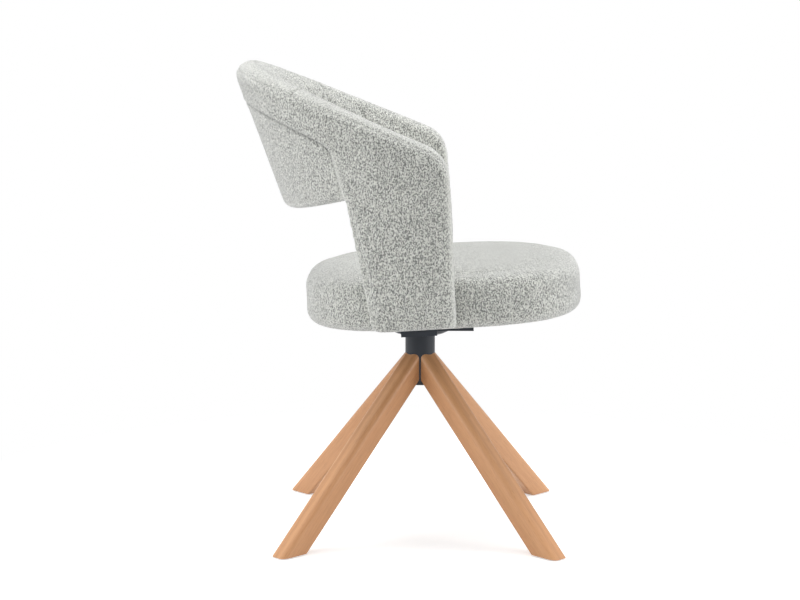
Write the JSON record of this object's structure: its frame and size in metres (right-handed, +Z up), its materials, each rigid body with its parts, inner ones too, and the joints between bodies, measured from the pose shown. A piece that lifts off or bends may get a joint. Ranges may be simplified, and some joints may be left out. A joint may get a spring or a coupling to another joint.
{
  "type": "swivel dining chair",
  "caption": "Swivel dining chair with a round upholstered seat, an open wrap-around back, a steel column and splayed wooden legs.",
  "frame": {"origin": "on the swivel axis at floor level, midway between the feet", "axes": "+Z up, front of the chair towards -Y, the sitter's left towards +X"},
  "size_m": [0.5816, 0.6076, 0.8343],
  "materials": {
    "beech": "clear satin lacquer",
    "plastic": "moulded",
    "coated_steel": "fine textured powder coat",
    "bright_steel": "zinc plated",
    "plywood": "sawn",
    "lining": "thin non-woven cloth",
    "foam": "cut foam",
    "boucle": "looped boucle, light and dark grey yarns"
  },
  "bodies": {
    "base": {"leg_front_right": "beech", "leg_front_left": "beech", "leg_rear_right": "beech", "leg_rear_left": "beech", "glide_front_right": "plastic", "glide_front_left": "plastic", "glide_rear_right": "plastic", "glide_rear_left": "plastic", "column_tube": "coated_steel", "leg_bolts": "bright_steel", "leg_inserts": "bright_steel", "column_cap": "plastic", "bearing_sleeve": "bright_steel", "upper_bush": "plastic", "lower_bush": "plastic", "lower_race": "bright_steel"},
    "bearing_cage": {"ball_cage": "plastic", "bearing_balls": "bright_steel"},
    "seat": {"bearing_housing": "coated_steel", "swivel_plate": "coated_steel", "side_bracket_right": "coated_steel", "side_bracket_left": "coated_steel", "back_hoop": "coated_steel", "upper_race": "bright_steel", "spindle": "bright_steel", "thrust_washer": "bright_steel", "retaining_ring": "bright_steel", "plate_screws": "bright_steel", "plate_tee_nuts": "bright_steel", "bracket_screws": "bright_steel", "bracket_tee_nuts": "bright_steel", "seat_board": "plywood", "dust_cover": "lining", "seat_foam": "foam", "back_foam": "foam", "side_foam_right": "foam", "side_foam_left": "foam", "seat_top_cover": "boucle", "seat_side_cover": "boucle", "rear_panel_cover": "boucle", "inner_back_cover": "boucle", "inner_arm_cover_right": "boucle", "inner_arm_cover_left": "boucle", "outer_cover": "boucle"}
  },
  "joints": [
    {"name": "seat_swivel", "type": "hinge", "parent": "base", "child": "seat", "pos_m": [0, 0, 0.35], "axis": [0, 0, 1], "continuous": true},
    {"name": "cage_spin", "type": "hinge", "parent": "base", "child": "bearing_cage", "pos_m": [0, 0, 0.35], "axis": [0, 0, 1], "continuous": true}
  ],
  "couplings": [
    {"joint": "cage_spin", "follows": "seat_swivel", "ratio": 0.5}
  ]
}
